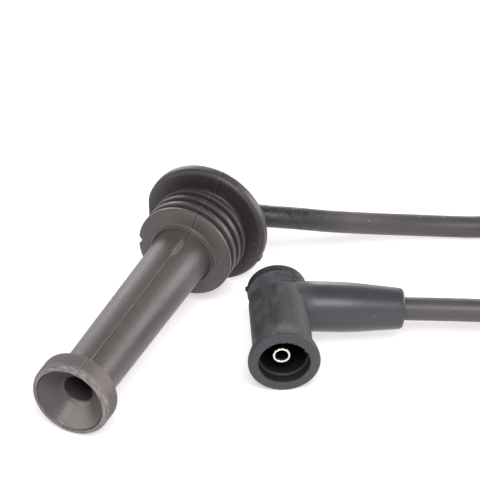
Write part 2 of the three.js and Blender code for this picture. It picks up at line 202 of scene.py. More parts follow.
def mask(material, *ranges):
    """Full where every value is past its second mark, and nothing where one is before its first."""
    share = None
    for value, nothing_at, full_at in ranges:
        part = add(material, "MapRange", [value, nothing_at, full_at])[0]
        if share is not None:
            part = add(material, "Math", [share, part], operation="MULTIPLY")[0]
        share = part
    return share


def layered(material, colour, *layers):
    """Lays colours over a first one. A layer is its colour and one or two shares, multiplied."""
    for over, share, *second in layers:
        if second:
            share = add(material, "Math", [share, *second], operation="MULTIPLY")[0]
        colour = add(material, "Mix", {0: share, 6: colour, 7: over}, data_type="RGBA")[2]
    return colour


def specks(material, place, cells_per_metre, edge, middle, share_of_cells, strength=1.0):
    """Specks of dust in a share of the cells of a pattern, each from its edge to its middle."""
    cells = add(material, "TexVoronoi", {"Vector": place, "Scale": cells_per_metre})
    spot = add(material, "MapRange", [cells["Distance"], edge, middle, 0.0, strength])[0]
    drawn = add(material, "SeparateColor", [cells["Color"]])["Red"]
    chosen = mask(material, (drawn, 1.0 - share_of_cells, 1.01 - share_of_cells))
    return add(material, "Math", [spot, chosen], operation="MULTIPLY")[0]


def close_material(material, inputs, relief=None, strength=0.0, depth=0.0):
    """Ends a material in its shader, with a relief that is up to a depth in metres."""
    if relief is not None:
        inputs["Normal"] = add(material, "Bump", {
            "Height": relief, "Strength": strength, "Distance": depth,
        })["Normal"]
    shader = add(material, "BsdfPrincipled", inputs)
    add(material, "OutputMaterial", {"Surface": shader[0]})


# Extruded EPDM jacket: a satin dark grey with a faint purple-brown cast. Handling leaves duller
# and paler patches, 8 mm across, and a few specks, 3 mm apart. Close to the plug boot a film of
# grease shines, broken into marks 2.4 mm across. The grain is drawn 0.6 mm wide, so that it shows.
GREASE_END = 0.011
GREASE_FULL = 0.002

jacket = new_material("extruded_epdm_jacket")
jacket_place = add(jacket, "TexCoord")["Object"]
jacket_patches = add(jacket, "TexNoise", {
    "Vector": jacket_place, "Scale": 130.0, "Detail": 4.0, "Roughness": 0.6,
})["Fac"]
jacket_grain = add(jacket, "TexNoise", {
    "Vector": jacket_place, "Scale": 1700.0, "Detail": 2.0,
})["Fac"]
jacket_dust = specks(jacket, jacket_place, 330.0, 0.12, 0.06, 0.1)
grease_part = mask(jacket, (
    add(jacket, "SeparateXYZ", [jacket_place])["X"], GREASE_END, GREASE_FULL))
grease_spots = add(jacket, "TexNoise", {
    "Vector": jacket_place, "Scale": 420.0, "Detail": 5.0, "Roughness": 0.7, "Distortion": 0.6,
})["Fac"]
grease = add(jacket, "Math", [
    grease_part, mask(jacket, (grease_spots, 0.5, 0.54)),
], operation="MULTIPLY")[0]
jacket_colour = layered(
    jacket, "#4a474b", ("#5b565b", jacket_patches), ("#8e8a8c", jacket_dust),
    ("#343436", grease_part))
jacket_roughness = add(jacket, "Math", [
    add(jacket, "MapRange", [jacket_patches, 0.3, 0.7, 0.4, 0.52])[0],
    add(jacket, "Math", [grease, 0.3], operation="MULTIPLY")[0],
], operation="SUBTRACT")[0]
jacket_relief = add(jacket, "Math", [
    add(jacket, "Math", [grease, 1.6], operation="MULTIPLY")[0], jacket_grain,
], operation="ADD")[0]
close_material(jacket, {
    "Base Color": jacket_colour, "Roughness": jacket_roughness, "IOR": 1.5,
}, jacket_relief, 0.3, 0.0002)


def give_material(piece, material):
    piece.data.materials.clear()
    piece.data.materials.append(material)


def finish_piece(piece, material):
    """Gives a piece its material, and says what it rides on."""
    give_material(piece, material)
    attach(piece, "root")


finish_piece(cable, jacket)
give_material(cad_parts["cable_end_at_plug"], jacket)
give_material(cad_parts["cable_end_at_coil"], jacket)


# Coil tie
# A narrow nylon cable tie round both layers of the cable's coil. It is moulded in one piece, and
# its strap goes through its own square head and is trimmed close to it.
TIE_WIDTH = 4.8
TIE_THICKNESS = 0.7
TIE_LOW = 0.05
TIE_HIGH = 15.95
TIE_HALF = 4.35
TIE_CORNER = 3.6
TIE_CORNER_STEPS = 8
TIE_EDGE = 0.18
TIE_HEAD = (5.6, 6.4, 4.2)
TIE_HEAD_SHIFT = -1.2
TIE_HEAD_SUNK = 0.3
TIE_HEAD_WALL = 0.9
TIE_SLOT_DEPTH = 1.4
TIE_TAIL = (1.1, 4.5, 3.2)
TIE_TAIL_SHIFT = -2.2
TIE_TAIL_SUNK = 0.4
UPWARD = 0.9


def tie_outline():
    """A rounded upright oblong, as points of across and up."""
    side = TIE_HALF - TIE_CORNER
    low = TIE_LOW + TIE_CORNER
    high = TIE_HIGH - TIE_CORNER
    points = []
    for x, z, start in ((side, low, -90), (side, high, 0), (-side, high, 90), (-side, low, 180)):
        for i in range(TIE_CORNER_STEPS + 1):
            angle = math.radians(start + 90 * i / TIE_CORNER_STEPS)
            points.append((x + TIE_CORNER * math.cos(angle), z + TIE_CORNER * math.sin(angle)))
    return points


def modify(piece, kind, **settings):
    """Gives a piece a modifier with its settings, and applies it."""
    change = piece.modifiers.new(kind.lower(), kind)
    for name, value in settings.items():
        setattr(change, name, value)
    pick(piece)
    bpy.ops.object.modifier_apply(modifier=change.name)


def box(size, centre):
    """A box of a size in mm, with its place in its mesh."""
    bpy.ops.object.select_all(action="DESELECT")
    bpy.ops.mesh.primitive_cube_add(size=1)
    made = bpy.context.object
    made.data.transform(
        Matrix.Translation(Vector(centre) * MM) @ Matrix.Diagonal((*[v * MM for v in size], 1)))
    return made


outline = tie_outline()
bpy.ops.object.select_all(action="DESELECT")
bpy.ops.mesh.primitive_circle_add(vertices=len(outline), radius=MM, fill_type="NOTHING")
tie = bpy.context.object
tie.name = "coil_tie_band"
for vertex, (across, up) in zip(tie.data.vertices, outline):
    vertex.co = Vector((across, -TIE_WIDTH / 2, up)) * MM
bpy.ops.object.mode_set(mode="EDIT")
bpy.ops.mesh.select_all(action="SELECT")
bpy.ops.mesh.extrude_region_move(TRANSFORM_OT_translate={"value": (0, TIE_WIDTH * MM, 0)})
bpy.ops.mesh.select_all(action="SELECT")
bpy.ops.mesh.normals_make_consistent(inside=False)
bpy.ops.object.mode_set(mode="OBJECT")
modify(tie, "SOLIDIFY", thickness=TIE_THICKNESS * MM, offset=-1)

# The head's slot opens upwards, and the strap's trimmed tail stands up out of it.
tie_head = box(TIE_HEAD, (TIE_HEAD_SHIFT, 0, TIE_HIGH + TIE_HEAD[2] / 2 - TIE_HEAD_SUNK))
bpy.ops.object.mode_set(mode="EDIT")
bpy.ops.mesh.select_all(action="DESELECT")
bpy.ops.object.mode_set(mode="OBJECT")
for face in tie_head.data.polygons:
    face.select = face.normal.z > UPWARD
bpy.ops.object.mode_set(mode="EDIT")
bpy.ops.mesh.select_mode(type="FACE")
bpy.ops.mesh.inset(thickness=TIE_HEAD_WALL * MM)
bpy.ops.mesh.extrude_region_move(TRANSFORM_OT_translate={"value": (0, 0, -TIE_SLOT_DEPTH * MM)})
bpy.ops.mesh.select_mode(type="VERT")
bpy.ops.object.mode_set(mode="OBJECT")
tie_tail = box(TIE_TAIL, (TIE_TAIL_SHIFT, 0, TIE_HIGH + TIE_HEAD[2] - TIE_TAIL_SUNK))
pick(tie)
tie_head.select_set(True)
tie_tail.select_set(True)
bpy.ops.object.join()
modify(tie, "BEVEL", width=TIE_EDGE * MM, segments=2, limit_method="ANGLE")
smooth(tie)
tie.data.transform(
    Matrix.Translation(Vector((*COIL_CENTRE, 0)) * MM)
    @ Matrix.Rotation(math.radians(TIE_ANGLE), 4, "Z")
    @ Matrix.Translation((COIL_RADIUS * MM, 0, 0)))

# Black nylon 6.6, injection moulded: a low even sheen with a fine grain, drawn 1.1 mm wide so
# that it shows.
nylon = new_material("moulded_black_nylon")
nylon_grain = add(nylon, "TexNoise", {
    "Vector": add(nylon, "TexCoord")["Object"], "Scale": 900.0, "Detail": 3.0,
})["Fac"]
close_material(nylon, {
    "Base Color": layered(nylon, "#1b1b1c", ("#27272a", nylon_grain)),
    "Roughness": add(nylon, "MapRange", [nylon_grain, 0.3, 0.7, 0.42, 0.56])[0],
    "IOR": 1.53,
}, nylon_grain, 0.2, 0.0001)
finish_piece(tie, nylon)
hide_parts("coil_tie")

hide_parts("cable_run_from_plug", "cable_coil", "cable_run_to_coil_boot")


# Plug boot
# The long EPDM rubber boot that covers the spark plug, moulded in one piece: a rim collar with a
# funnel, a tapered tube, four sealing ribs, a round flange, and a hub with its side outlet.
BOOT_FACETS = 192
BOOT_SHARP_FROM = 50.0
COLLAR_RADIUS = 12.0
FLANGE_RADIUS = 20.0
FLANGE_AT = 96.1
FLANGE_FLAT = 18.9
BOOT_TILT = math.atan((FLANGE_RADIUS - COLLAR_RADIUS) / FLANGE_AT)
BOOT_PLACE = Vector((-26.3, -55.5, COLLAR_RADIUS * math.cos(BOOT_TILT))) * MM
OUTLET_LEAN = 21.0
OUTLET_ROLL = 10.7
OUTLET_AT = 103.6
OUTLET_REACH = 12.0
CABLE_HOLE = 3.52
HOLE_FLARE = 4.1
HOLE_OVERRUN = 2.0
OUTLET_FACETS = 96
HOLE_FACETS = 64
RIB_FRONTS = (89.2, 85.5, 81.8)
RIB_THICKNESS = 1.9
RIB_RADIUS = 15.3
RIB_ROOT = 12.2
RIB_FILLET = 0.5
RIB_EDGE = 0.32
TUBE_STEP = 0.8
FUNNEL_STEP = 0.9
FLAT_CUTTER = (4.0, 40.0, 6.0)
boot_lie = Matrix.Translation(BOOT_PLACE) @ Matrix.Rotation(BOOT_TILT - math.pi / 2, 4, "X")


def arc(radius_at, height_at, size, start, end, steps=5):
    """Profile points round a corner, from one angle to another about its centre."""
    angles = [math.radians(start + (end - start) * i / steps) for i in range(steps + 1)]
    return [(radius_at + size * math.cos(a), height_at + size * math.sin(a)) for a in angles]


def straight(start, end, step):
    """Profile points from one to another, close together."""
    count = max(1, round(math.dist(start, end) / step))
    return [tuple(a + (b - a) * i / count for a, b in zip(start, end)) for i in range(count + 1)]


def spun(name, profile, facets=BOOT_FACETS):
    """Draws a profile of (radius, height) in mm by extruding a point, and spins it round Z."""
    bpy.ops.object.select_all(action="DESELECT")
    bpy.ops.mesh.primitive_plane_add(size=MM)
    piece = bpy.context.object
    piece.name = name
    bpy.ops.object.mode_set(mode="EDIT")
    bpy.ops.mesh.select_all(action="SELECT")
    bpy.ops.mesh.merge(type="CENTER")
    last = Vector((0, 0, 0))
    for number, (radius, height) in enumerate(profile):
        place = Vector((radius, 0, height)) * MM
        if number == 0:
            bpy.ops.transform.translate(value=place)
        else:
            bpy.ops.mesh.extrude_region_move(TRANSFORM_OT_translate={"value": place - last})
        last = place
    bpy.ops.mesh.select_all(action="SELECT")
    bpy.ops.mesh.spin(steps=facets, angle=math.tau, center=(0, 0, 0), axis=(0, 0, 1))
    bpy.ops.mesh.select_all(action="SELECT")
    bpy.ops.mesh.remove_doubles(threshold=0.00001)
    bpy.ops.mesh.normals_make_consistent(inside=False)
    bpy.ops.object.mode_set(mode="OBJECT")
    return piece


def cut_or_join(piece, other, operation, lie=None):
    """Joins another closed shape to a piece, or cuts it away, and removes the other."""
    if lie is not None:
        other.data.transform(lie)
    modify(piece, "BOOLEAN", operation=operation, solver="EXACT", object=other)
    bpy.data.objects.remove(other)


def rib_profile(front):
    back = front + RIB_THICKNESS
    root = RIB_ROOT + RIB_FILLET
    edge = RIB_RADIUS - RIB_EDGE
    return [
        *arc(root, back + RIB_FILLET, RIB_FILLET, 180, 270, 3),
        *arc(edge, back - RIB_EDGE, RIB_EDGE, 90, 0, 4),
        *arc(edge, front + RIB_EDGE, RIB_EDGE, 0, -90, 4),
        *arc(root, front - RIB_FILLET, RIB_FILLET, 90, 180, 3),
    ]


# The profile runs from the hub's end to the rim, then back along the funnel and the bore.
hub_and_flange = [
    (0, 110.7), (4, 110.7),
    *arc(7.4, 109.1, 1.6, 90, 0),
    (9.0, 103.0),
    *arc(10.0, 99.3, 1.0, 180, 270),
    (14.0, 98.3),
    *arc(18.2, 96.5, 1.8, 90, 0, 6),
    *arc(18.8, 95.1, 1.2, 0, -90, 6),
    (18.2, 93.95), (17.2, 94.2), (15.6, 94.6), (14.0, 94.95),
    *arc(12.8, 94.5, 0.6, 90, 180, 3),
]
rear_ribs = [point for front in RIB_FRONTS for point in rib_profile(front)]
first_rib = [
    *arc(RIB_ROOT + RIB_FILLET, 80.5, RIB_FILLET, 180, 270, 3),
    *arc(14.95, 79.65, 0.35, 90, 0, 4),
    *arc(14.9, 79.0, 0.4, 0, -70, 4),
    (14.2, 78.3), (13.4, 78.12), (12.6, 77.98), (11.9, 77.86), (11.2, 77.78), (10.7, 77.72),
    (10.4, 77.5),
]
turned_lip = [
    *arc(9.92, 76.75, 0.3, 30, -90, 5),
    *arc(9.9, 76.75, 0.3, -90, -150, 3),
    (9.54, 76.85), (9.44, 76.8), (9.34, 76.4), (9.25, 75.7), (9.17, 74.8), (9.1, 73.7),
]
tube_and_collar = [
    *straight((9.04, 72.8), (8.12, 8.2), TUBE_STEP),
    *arc(8.9, 8.1, 0.8, 180, 270, 4),
    *arc(11.1, 6.4, 0.9, 90, 0, 4),
    (11.98, 4.0),
    *arc(10.35, 1.6, 1.6, 0, -88, 8),
]
funnel_and_bore = [
    (10.42, 0.15), (10.36, 0.95), (10.14, 1.0), (10.04, 0.5),
    *straight((9.95, 0.6), (5.05, 5.7), FUNNEL_STEP),
    *arc(5.0, 6.35, 0.6, -135, -180, 3),
    (4.4, 9.0), (4.4, 12.1), (4.8, 12.4), (4.8, 31.0), (4.8, 50.0), (4.5, 50.1), (4.5, 67.5),
    (1.85, 67.6), (1.85, 99.4), (2.8, 99.5), (2.8, 107.8), (0, 107.8),
]
plug_boot = spun("plug_boot_rubber", [
    *hub_and_flange, *rear_ribs, *first_rib, *turned_lip, *tube_and_collar, *funnel_and_bore,
])
outlet_lie = (
    Matrix.Translation((0, 0, OUTLET_AT * MM))
    @ Matrix.Rotation(math.radians(OUTLET_ROLL), 4, "Z")
    @ Matrix.Rotation(math.radians(90 - OUTLET_LEAN), 4, "Y"))
outlet = spun("outlet", [
    (0, 3.5), (5.6, 3.5), (5.25, 7.0), (4.85, 10.4),
    *arc(4.0, OUTLET_REACH - 0.7, 0.7, 15, 90, 4),
    (0, OUTLET_REACH),
], OUTLET_FACETS)
cut_or_join(plug_boot, outlet, "UNION", outlet_lie)
cable_hole = spun("cable_hole", [
    (0, 5.9), (CABLE_HOLE, 5.9), (CABLE_HOLE, OUTLET_REACH - 0.5),
    (HOLE_FLARE, OUTLET_REACH + 0.3), (HOLE_FLARE, OUTLET_REACH + HOLE_OVERRUN),
    (0, OUTLET_REACH + HOLE_OVERRUN),
], HOLE_FACETS)
cut_or_join(plug_boot, cable_hole, "DIFFERENCE", outlet_lie)
flat_cutter = box(FLAT_CUTTER, (-FLANGE_FLAT - FLAT_CUTTER[0] / 2, 0, FLANGE_AT))
cut_or_join(plug_boot, flat_cutter, "DIFFERENCE")


def angle_of(point):
    return math.degrees(math.atan2(point.y, point.x))


def turned_from(angle, around):
    """How far one angle is past another, from half a turn back to half a turn on."""
    return (around - angle + 180) % 360 - 180


def bump(value, size):
    """One at the middle, nothing past the size, smooth between."""
    near = max(0.0, 1.0 - abs(value) / size)
    return near * near * (3.0 - 2.0 * near)


def draw_in(vertex, share):
    """Moves a vertex towards the axis by a share of its distance."""
    vertex.co.x *= 1 - share
    vertex.co.y *= 1 - share


# The mould leaves a fine raised seam along both sides of the boot, and a torn gate scar near the
# neck. The first rib has a nick torn out of its edge, and the flange a short tag of flash.
SEAM_ANGLE = -73.0
SEAM_HALF_ANGLE = 0.95
SEAM_HEIGHT = 0.16
SKIN_RADIUS = 8.0
FLANGE_BACK = 98.0
FUNNEL_BACK = 7.0
FUNNEL_RADIUS = 10.5
TUBE_RADIUS = 10.0
GATE_MIDDLE = 68.9
GATE_HALF_LENGTH = 4.2
GATE_HALF_WIDTH = 1.1
GATE_SHIFT = 0.1
GATE_RISE = 0.55
NICK_ANGLE = -176.5
NICK_HALF_ANGLE = 6.0
NICK_DEPTH = 1.25
NICK_RADIUS = 13.8
NICK_HEIGHTS = (77.5, 80.5)
TAG_ANGLE = 27.0
TAG_HALF_ANGLE = 1.6
TAG_RADIUS = 19.2
TAG_HEIGHTS = (94.0, 98.3)
TAG_REACH = 0.02

for vertex in plug_boot.data.vertices:
    point = vertex.co / MM
    radius = math.hypot(point.x, point.y)
    around = angle_of(point)
    off_seam = turned_from(SEAM_ANGLE, around)
    off_back_seam = turned_from(SEAM_ANGLE + 180, around)
    outside = (radius > SKIN_RADIUS and point.z < FLANGE_BACK
               and (point.z > FUNNEL_BACK or radius > FUNNEL_RADIUS))
    if outside and min(abs(off_seam), abs(off_back_seam)) < SEAM_HALF_ANGLE:
        wave = 0.75 + 0.25 * noise.noise(Vector((0.3, 0.2, point.z * 0.35)))
        vertex.co += vertex.normal * SEAM_HEIGHT * wave * MM
    off_gate = math.radians(off_seam) * radius + GATE_SHIFT
    rise = bump(point.z - GATE_MIDDLE, GATE_HALF_LENGTH) * bump(off_gate, GATE_HALF_WIDTH)
    if outside and rise > 0 and radius < TUBE_RADIUS:
        rough = 0.8 + 0.5 * noise.noise(point * 1.7)
        vertex.co += vertex.normal * GATE_RISE * rise * rough * MM
    off_nick = turned_from(NICK_ANGLE, around)
    on_first_rib = radius > NICK_RADIUS and NICK_HEIGHTS[0] < point.z < NICK_HEIGHTS[1]
    if on_first_rib and abs(off_nick) < NICK_HALF_ANGLE:
        torn = bump(off_nick, NICK_HALF_ANGLE) * (0.85 + 0.5 * noise.noise(point * 0.9))
        draw_in(vertex, NICK_DEPTH * torn / radius)
    on_flange_edge = radius > TAG_RADIUS and TAG_HEIGHTS[0] < point.z < TAG_HEIGHTS[1]
    if on_flange_edge and abs(around - TAG_ANGLE) < TAG_HALF_ANGLE:
        draw_in(vertex, -TAG_REACH)
plug_boot.data.transform(boot_lie)
smooth(plug_boot, BOOT_SHARP_FROM)


def along_boot(material, lie):
    """A boot's own coordinates in metres, with Z along its axis, then their parts, and the
    distance from the axis."""
    place = add(material, "Mapping", {
        "Vector": add(material, "TexCoord")["Object"],
        "Location": lie.translation, "Rotation": lie.to_euler(),
    }, vector_type="TEXTURE")["Vector"]
    across = add(material, "VectorMath", [place, (1.0, 1.0, 0.0)], operation="MULTIPLY")[0]
    from_axis = add(material, "VectorMath", [across], operation="LENGTH")["Value"]
    return place, add(material, "SeparateXYZ", [place]), from_axis


# Compression-moulded EPDM: dark warm grey with a soft sheen on the tube, in patches of bloom 8 mm
# across, with rub marks 1 mm wide and 22 mm long. The collar and the rim have been handled and
# scuffed dull and pale. The funnel shows the turned rings of its mould, 0.5 mm apart, painted shade
# on its left half and a painted highlight in a wedge on its lower side. The rear ribs and the
# flange are darkened with painted shade. Specks of dust sit 4 mm apart, and the gate scar is
# lighter than the skin. The raised seam has a painted highlight on its crest and a painted shadow
# line beside it.
# The grain and scuffs are drawn 0.7 mm wide, so that they show.
COLLAR_BACK = 0.0076
RIM_BACK = 0.0026
RIM_FRONT = 0.0006
RIM_INSIDE = 0.0101
FUNNEL_END = 0.0068
# Angle and strength of the painted highlight in the funnel's lower wedge.
HIGHLIGHT_WEDGE_ANGLE = 1.4
HIGHLIGHT_WEDGE_SHARE = 0.75
RING_RATE = 12500.0
RING_SHARE = 0.12
# Near the neck, the seam's painted shadow deepens and its painted highlight fades.
NECK_FROM = 0.068
NECK_TO = 0.072
# Where the painted shade over the rear ribs and the flange starts, and where it is full.
RIB_SHADE_FROM = 0.0806
RIB_SHADE_TO = 0.083
# Offsets of the seam's painted highlight on its crest and of its painted shadow line beside it.
SEAM_HIGHLIGHT_AT = -0.00004
SEAM_SHADOW_AT = 0.00024
SCUFF_AT = (0.0094, -0.0072, 0.0044)
GATE_AT = (0.00259, -0.00847, 0.0689)

epdm = new_material("moulded_epdm_rubber")
epdm_place, epdm_parts, epdm_radius = along_boot(epdm, boot_lie)
epdm_along = epdm_parts["Z"]
epdm_angle = add(epdm, "Math", [epdm_parts["Y"], epdm_parts["X"]], operation="ARCTAN2")[0]
bloom = add(epdm, "TexNoise", {
    "Vector": epdm_place, "Scale": 120.0, "Detail": 5.0, "Roughness": 0.62,
})["Fac"]
grain = add(epdm, "TexNoise", {
    "Vector": epdm_place, "Scale": 1500.0, "Detail": 3.0, "Roughness": 0.6,
})["Fac"]
rub_marks = add(epdm, "TexNoise", {
    "Vector": add(epdm, "VectorMath", [epdm_place, (900.0, 900.0, 45.0)], operation="MULTIPLY")[0],
    "Scale": 1.0, "Detail": 4.0, "Roughness": 0.6,
})["Fac"]
scuffs = add(epdm, "TexNoise", {
    "Vector": epdm_place, "Scale": 1500.0, "Detail": 5.0, "Roughness": 0.75, "Distortion": 0.6,
})["Fac"]
rim_scuffs = add(epdm, "TexNoise", {
    "Vector": add(epdm, "CombineXYZ", [
        epdm_radius, epdm_along, add(epdm, "Math", [epdm_angle, 0.0028], operation="MULTIPLY")[0],
    ])[0],
    "Scale": 1700.0, "Detail": 5.0, "Roughness": 0.7, "Distortion": 0.5,
})["Fac"]
epdm_dust = specks(epdm, epdm_place, 230.0, 0.06, 0.03, 0.2)

collar_ranges = (
    (epdm_along, COLLAR_BACK, COLLAR_BACK - 0.0006), (epdm_radius, RIM_INSIDE, RIM_INSIDE + 0.0003))
on_collar = mask(epdm, *collar_ranges)
on_rim = mask(epdm, *collar_ranges, (epdm_along, RIM_BACK, RIM_FRONT))
on_funnel = mask(
    epdm, (epdm_along, FUNNEL_END, FUNNEL_END - 0.0004),
    (epdm_radius, RIM_INSIDE, RIM_INSIDE - 0.0001))
# A painted highlight: a wedge of lighter colour round one angle of the funnel.
off_highlight_wedge = add(epdm, "Math", [
    add(epdm, "Math", [epdm_angle, HIGHLIGHT_WEDGE_ANGLE], operation="SUBTRACT")[0],
], operation="ABSOLUTE")[0]
funnel_painted_highlight = add(epdm, "MapRange", [off_highlight_wedge, 0.75, 0.15, 0.0, HIGHLIGHT_WEDGE_SHARE])[0]
ring_wave = add(epdm, "Math", [
    add(epdm, "Math", [epdm_radius, RING_RATE], operation="MULTIPLY")[0],
], operation="SINE")[0]
ring_height = add(epdm, "Math", [
    on_funnel, add(epdm, "MapRange", [epdm_radius, 0.0078, 0.0068, 0.0, RING_SHARE])[0],
], operation="MULTIPLY")[0]
turning_rings = add(epdm, "Math", [ring_wave, ring_height], operation="MULTIPLY")[0]

# The seam has a painted highlight on its crest and a painted shadow line beside it, everywhere but
# in the funnel.
seam_side = add(epdm, "VectorMath", [
    epdm_place,
    (-math.sin(math.radians(SEAM_ANGLE)), math.cos(math.radians(SEAM_ANGLE)), 0.0),
], operation="DOT_PRODUCT")["Value"]
off_funnel_radius = add(epdm, "Math", [
    epdm_radius, add(epdm, "Math", [on_funnel, 0.01], operation="MULTIPLY")[0],
], operation="SUBTRACT")[0]
seam_painted_lines = []
for line_at, edge, middle in ((SEAM_HIGHLIGHT_AT, 0.00015, 0.00007), (SEAM_SHADOW_AT, 0.00022, 0.00008)):
    off_line = add(epdm, "Math", [
        add(epdm, "Math", [seam_side, line_at], operation="SUBTRACT")[0],
    ], operation="ABSOLUTE")[0]
    seam_painted_lines.append(mask(epdm, (off_funnel_radius, 0.0076, 0.0078), (off_line, edge, middle)))
seam_painted_highlight, seam_painted_shadow = seam_painted_lines

from_gate = add(epdm, "VectorMath", [epdm_place, GATE_AT], operation="SUBTRACT")[0]
from_gate = add(epdm, "VectorMath", [from_gate, (1.0, 1.0, 0.22)], operation="MULTIPLY")[0]
gate_away = add(epdm, "Math", [
    add(epdm, "VectorMath", [from_gate], operation="LENGTH")["Value"],
    add(epdm, "MapRange", [scuffs, 0.3, 0.7, -0.0003, 0.0003])[0],
], operation="ADD")[0]
on_gate = mask(epdm, (gate_away, 0.00105, 0.0009))
gate_edge = add(epdm, "Math", [
    on_gate, add(epdm, "MapRange", [gate_away, 0.0005, 0.0008, 0.25, 1.0])[0],
], operation="MULTIPLY")[0]
scuff_away = add(epdm, "VectorMath", [epdm_place, SCUFF_AT], operation="DISTANCE")["Value"]

epdm_colour = layered(
    epdm, "#4b4745",
    ("#5d5856", bloom),
    # Painted shade on the funnel's left half; it is lighter towards the right.
    (layered(epdm, "#4b4746", ("#6a6463", mask(epdm, (epdm_parts["X"], -0.005, 0.001)))),
     on_funnel, 0.8),
    # Painted highlight in a wedge on the funnel's lower side.
    ("#8f8986", on_funnel, funnel_painted_highlight),
    # Painted shade over the rear ribs and the flange.
    ("#2c2a29", add(epdm, "MapRange", [epdm_along, RIB_SHADE_FROM, RIB_SHADE_TO, 0.0, 0.6])[0]),
    ("#746d6b", add(epdm, "MapRange", [rub_marks, 0.6, 0.78, 0.0, 0.35])[0]),
    (layered(epdm, "#5e5958", ("#696463", mask(epdm, (scuffs, 0.35, 0.65)))), on_collar, 0.85),
    ("#aaa4a2", on_rim, add(epdm, "MapRange", [rim_scuffs, 0.42, 0.64, 0.12, 0.85])[0]),
    ("#867976", on_collar, add(epdm, "MapRange", [scuff_away, 0.0052, 0.0022, 0.0, 0.55])[0]),
    # Painted shadow line beside the raised seam, deeper near the neck, then a painted highlight on
    # its crest, fainter near the neck.
    ("#242221", seam_painted_shadow,
     add(epdm, "MapRange", [epdm_along, NECK_FROM, NECK_TO, 0.45, 0.95])[0]),
    ("#8f8986", seam_painted_highlight, add(epdm, "MapRange", [epdm_along, NECK_FROM, NECK_TO, 0.62, 0.3])[0]),
    ("#8a8481", gate_edge, 0.5),
    ("#9a9591", epdm_dust))
epdm_roughness = add(epdm, "MapRange", [bloom, 0.3, 0.7, 0.38, 0.47])[0]
for part, rougher in ((on_collar, 0.26), (on_gate, 0.2), (on_funnel, -0.12)):
    epdm_roughness = add(epdm, "Math", [part, rougher, epdm_roughness], operation="MULTIPLY_ADD")[0]
epdm_relief = add(epdm, "Math", [scuffs, on_collar, grain], operation="MULTIPLY_ADD")[0]
for finer in (turning_rings, epdm_dust):
    epdm_relief = add(epdm, "Math", [epdm_relief, finer], operation="ADD")[0]
close_material(epdm, {
    "Base Color": epdm_colour, "Roughness": epdm_roughness, "IOR": 1.5,
}, epdm_relief, 0.45, 0.0002)
finish_piece(plug_boot, epdm)
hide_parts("plug_boot")


# Plug terminal and snap ring
# A tinned steel socket that snaps over the plug's terminal nut, on a long stem to the cable's
# core, and the open ring of spring wire that grips the nut. Both sit deep in the boot, and the
# tin's streaks are 1.4 mm wide.
tinned = new_material("tinned_sheet_steel")
tinned_streaks = add(tinned, "TexNoise", {
    "Vector": add(tinned, "TexCoord")["Object"], "Scale": 700.0, "Detail": 4.0,
})["Fac"]
close_material(tinned, {
    "Base Color": layered(tinned, "#d8d4cb", ("#f2efe7", tinned_streaks)),
    "Roughness": add(tinned, "MapRange", [tinned_streaks, 0.3, 0.7, 0.22, 0.38])[0],
    "Metallic": 1.0,
}, tinned_streaks, 0.3, 0.0001)
spring_steel = new_material("drawn_spring_wire")
wire_grain = add(spring_steel, "TexNoise", {
    "Vector": add(spring_steel, "TexCoord")["Object"], "Scale": 1500.0,
})["Fac"]
close_material(spring_steel, {
    "Base Color": layered(spring_steel, "#82807c", ("#a09e99", wire_grain)),
    "Roughness": add(spring_steel, "MapRange", [wire_grain, 0.3, 0.7, 0.28, 0.4])[0],
    "Metallic": 1.0,
})
give_material(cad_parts["plug_terminal"], tinned)
give_material(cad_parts["plug_snap_ring"], spring_steel)


# Coil boot
# The right-angle boot for the ignition coil, moulded in one piece of satin EPDM: a flared mouth
# with a sealing ridge inside, a short body, a groove, a round back disc and a tapered arm.
COIL_BOOT_TURN = 26.5
COIL_BOOT_RISE = 7.5
COIL_BOOT_ROLL = 4.0
MOUTH_REST = 10.65
COIL_BOOT_PLACE = Vector((
    21.1, -11.2, MOUTH_REST * math.cos(math.radians(COIL_BOOT_RISE)))) * MM
COIL_BOOT_FACETS = 128
ARM_AT = 26.5
ARM_REACH = 37.4
SKIN_VOXEL = 0.3
coil_boot_lie = (
    Matrix.Translation(COIL_BOOT_PLACE)
    @ Matrix.Rotation(math.radians(COIL_BOOT_TURN), 4, "Z")
    @ Matrix.Rotation(math.radians(COIL_BOOT_RISE - 90), 4, "X")
    @ Matrix.Rotation(math.radians(COIL_BOOT_ROLL), 4, "Z"))
arm_lie = Matrix.Translation((0, 0, ARM_AT * MM)) @ Matrix.Rotation(math.pi / 2, 4, "Y")

coil_boot = spun("coil_boot_rubber", [
    (0, 0),
    *arc(9.95, 0.7, 0.7, -90, 0, 4),
    (10.6, 1.5), (10.2, 3.2), (9.5, 5.2), (9.05, 7.0), (8.9, 8.8),
    *straight((8.88, 9.5), (8.9, 26.2), 2.0),
    *arc(8.1, 27.0, 0.8, 0, 90, 5),
    (6.8, 27.95), (6.1, 28.5), (5.8, 29.2), (5.95, 29.9), (6.5, 30.6), (7.3, 31.2),
    (8.1, 31.65), (8.7, 31.95), (8.96, 32.2),
    *arc(8.5, 34.55, 0.5, 0, 90, 4),
    (0, 35.05),
], COIL_BOOT_FACETS)
arm = spun("arm", [
    (0, 0), (7.55, 0), (7.55, 14.0), (7.54, 18.0), (7.46, 21.0), (7.24, 24.5), (6.93, 28.0),
    (6.58, 32.0), (6.3, 35.4),
    *arc(5.2, ARM_REACH - 0.95, 0.95, 8, 90, 4),
    (0, ARM_REACH),
], COIL_BOOT_FACETS)
cut_or_join(coil_boot, arm, "UNION", arm_lie)
modify(coil_boot, "REMESH", mode="VOXEL", voxel_size=SKIN_VOXEL * MM)
modify(coil_boot, "SMOOTH", factor=0.5, iterations=4)
